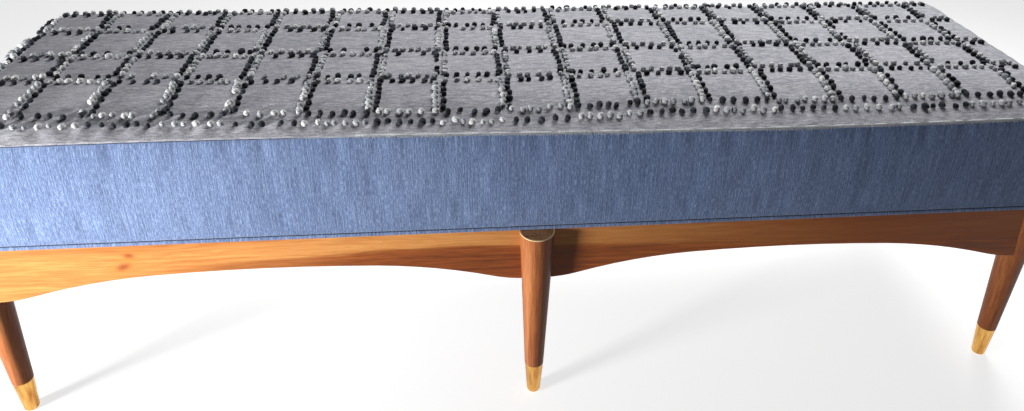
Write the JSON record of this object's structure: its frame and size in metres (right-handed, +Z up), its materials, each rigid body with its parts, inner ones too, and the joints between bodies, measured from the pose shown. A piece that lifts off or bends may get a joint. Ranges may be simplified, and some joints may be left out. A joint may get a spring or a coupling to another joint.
{
  "type": "upholstered bench",
  "caption": "Long upholstered bench with a crowned top embroidered in a grid of knots, plain boxed sides, arched wooden aprons and round tapered legs in brass cups.",
  "frame": {"origin": "on the floor under the middle of the bench", "axes": "+X along the length to the right as seen from the front, +Y from front to back, +Z up"},
  "size_m": [1.524, 0.48, 0.472],
  "materials": {
    "top_fabric": "slate-grey slubbed plain weave with raised knots",
    "boxing_fabric": "denim-blue slubbed plain weave",
    "welt_fabric": "frayed pale cord",
    "dust_cloth": "thin black cloth",
    "seat_foam": "soft seat foam",
    "wadding": "fibre wadding",
    "plywood": "bare plywood",
    "inner_wood": "bare wood",
    "apron_wood": "satin oiled wood with a long grain",
    "leg_wood": "satin oiled wood",
    "ferrule_brass": "satin brass",
    "fastener_steel": "zinc-plated"
  },
  "bodies": {
    "root": {"back_apron": "apron_wood", "back_band": "boxing_fabric", "back_left_bolt": "fastener_steel", "back_left_corner_block": "inner_wood", "back_left_ferrule": "ferrule_brass", "back_left_leg": "leg_wood", "back_left_nut": "fastener_steel", "back_left_seat_screw": "fastener_steel", "back_middle_ferrule": "ferrule_brass", "back_middle_leg": "leg_wood", "back_middle_leg_screw_lower": "fastener_steel", "back_middle_leg_screw_upper": "fastener_steel", "back_rail_seat_screw": "fastener_steel", "back_right_bolt": "fastener_steel", "back_right_corner_block": "inner_wood", "back_right_ferrule": "ferrule_brass", "back_right_leg": "leg_wood", "back_right_nut": "fastener_steel", "back_right_seat_screw": "fastener_steel", "bottom_hem": "boxing_fabric", "dust_cover": "dust_cloth", "foam_core": "seat_foam", "front_apron": "apron_wood", "front_band": "boxing_fabric", "front_left_bolt": "fastener_steel", "front_left_corner_block": "inner_wood", "front_left_ferrule": "ferrule_brass", "front_left_leg": "leg_wood", "front_left_nut": "fastener_steel", "front_left_seat_screw": "fastener_steel", "front_middle_ferrule": "ferrule_brass", "front_middle_leg": "leg_wood", "front_middle_leg_screw_lower": "fastener_steel", "front_middle_leg_screw_upper": "fastener_steel", "front_rail_seat_screw": "fastener_steel", "front_right_bolt": "fastener_steel", "front_right_corner_block": "inner_wood", "front_right_ferrule": "ferrule_brass", "front_right_leg": "leg_wood", "front_right_nut": "fastener_steel", "front_right_seat_screw": "fastener_steel", "left_band": "boxing_fabric", "left_end_apron": "apron_wood", "middle_rail": "inner_wood", "right_band": "boxing_fabric", "right_end_apron": "apron_wood", "seat_panel": "plywood", "top_cover": "top_fabric", "top_welt": "welt_fabric", "wadding_layer": "wadding"}
  },
  "joints": []
}
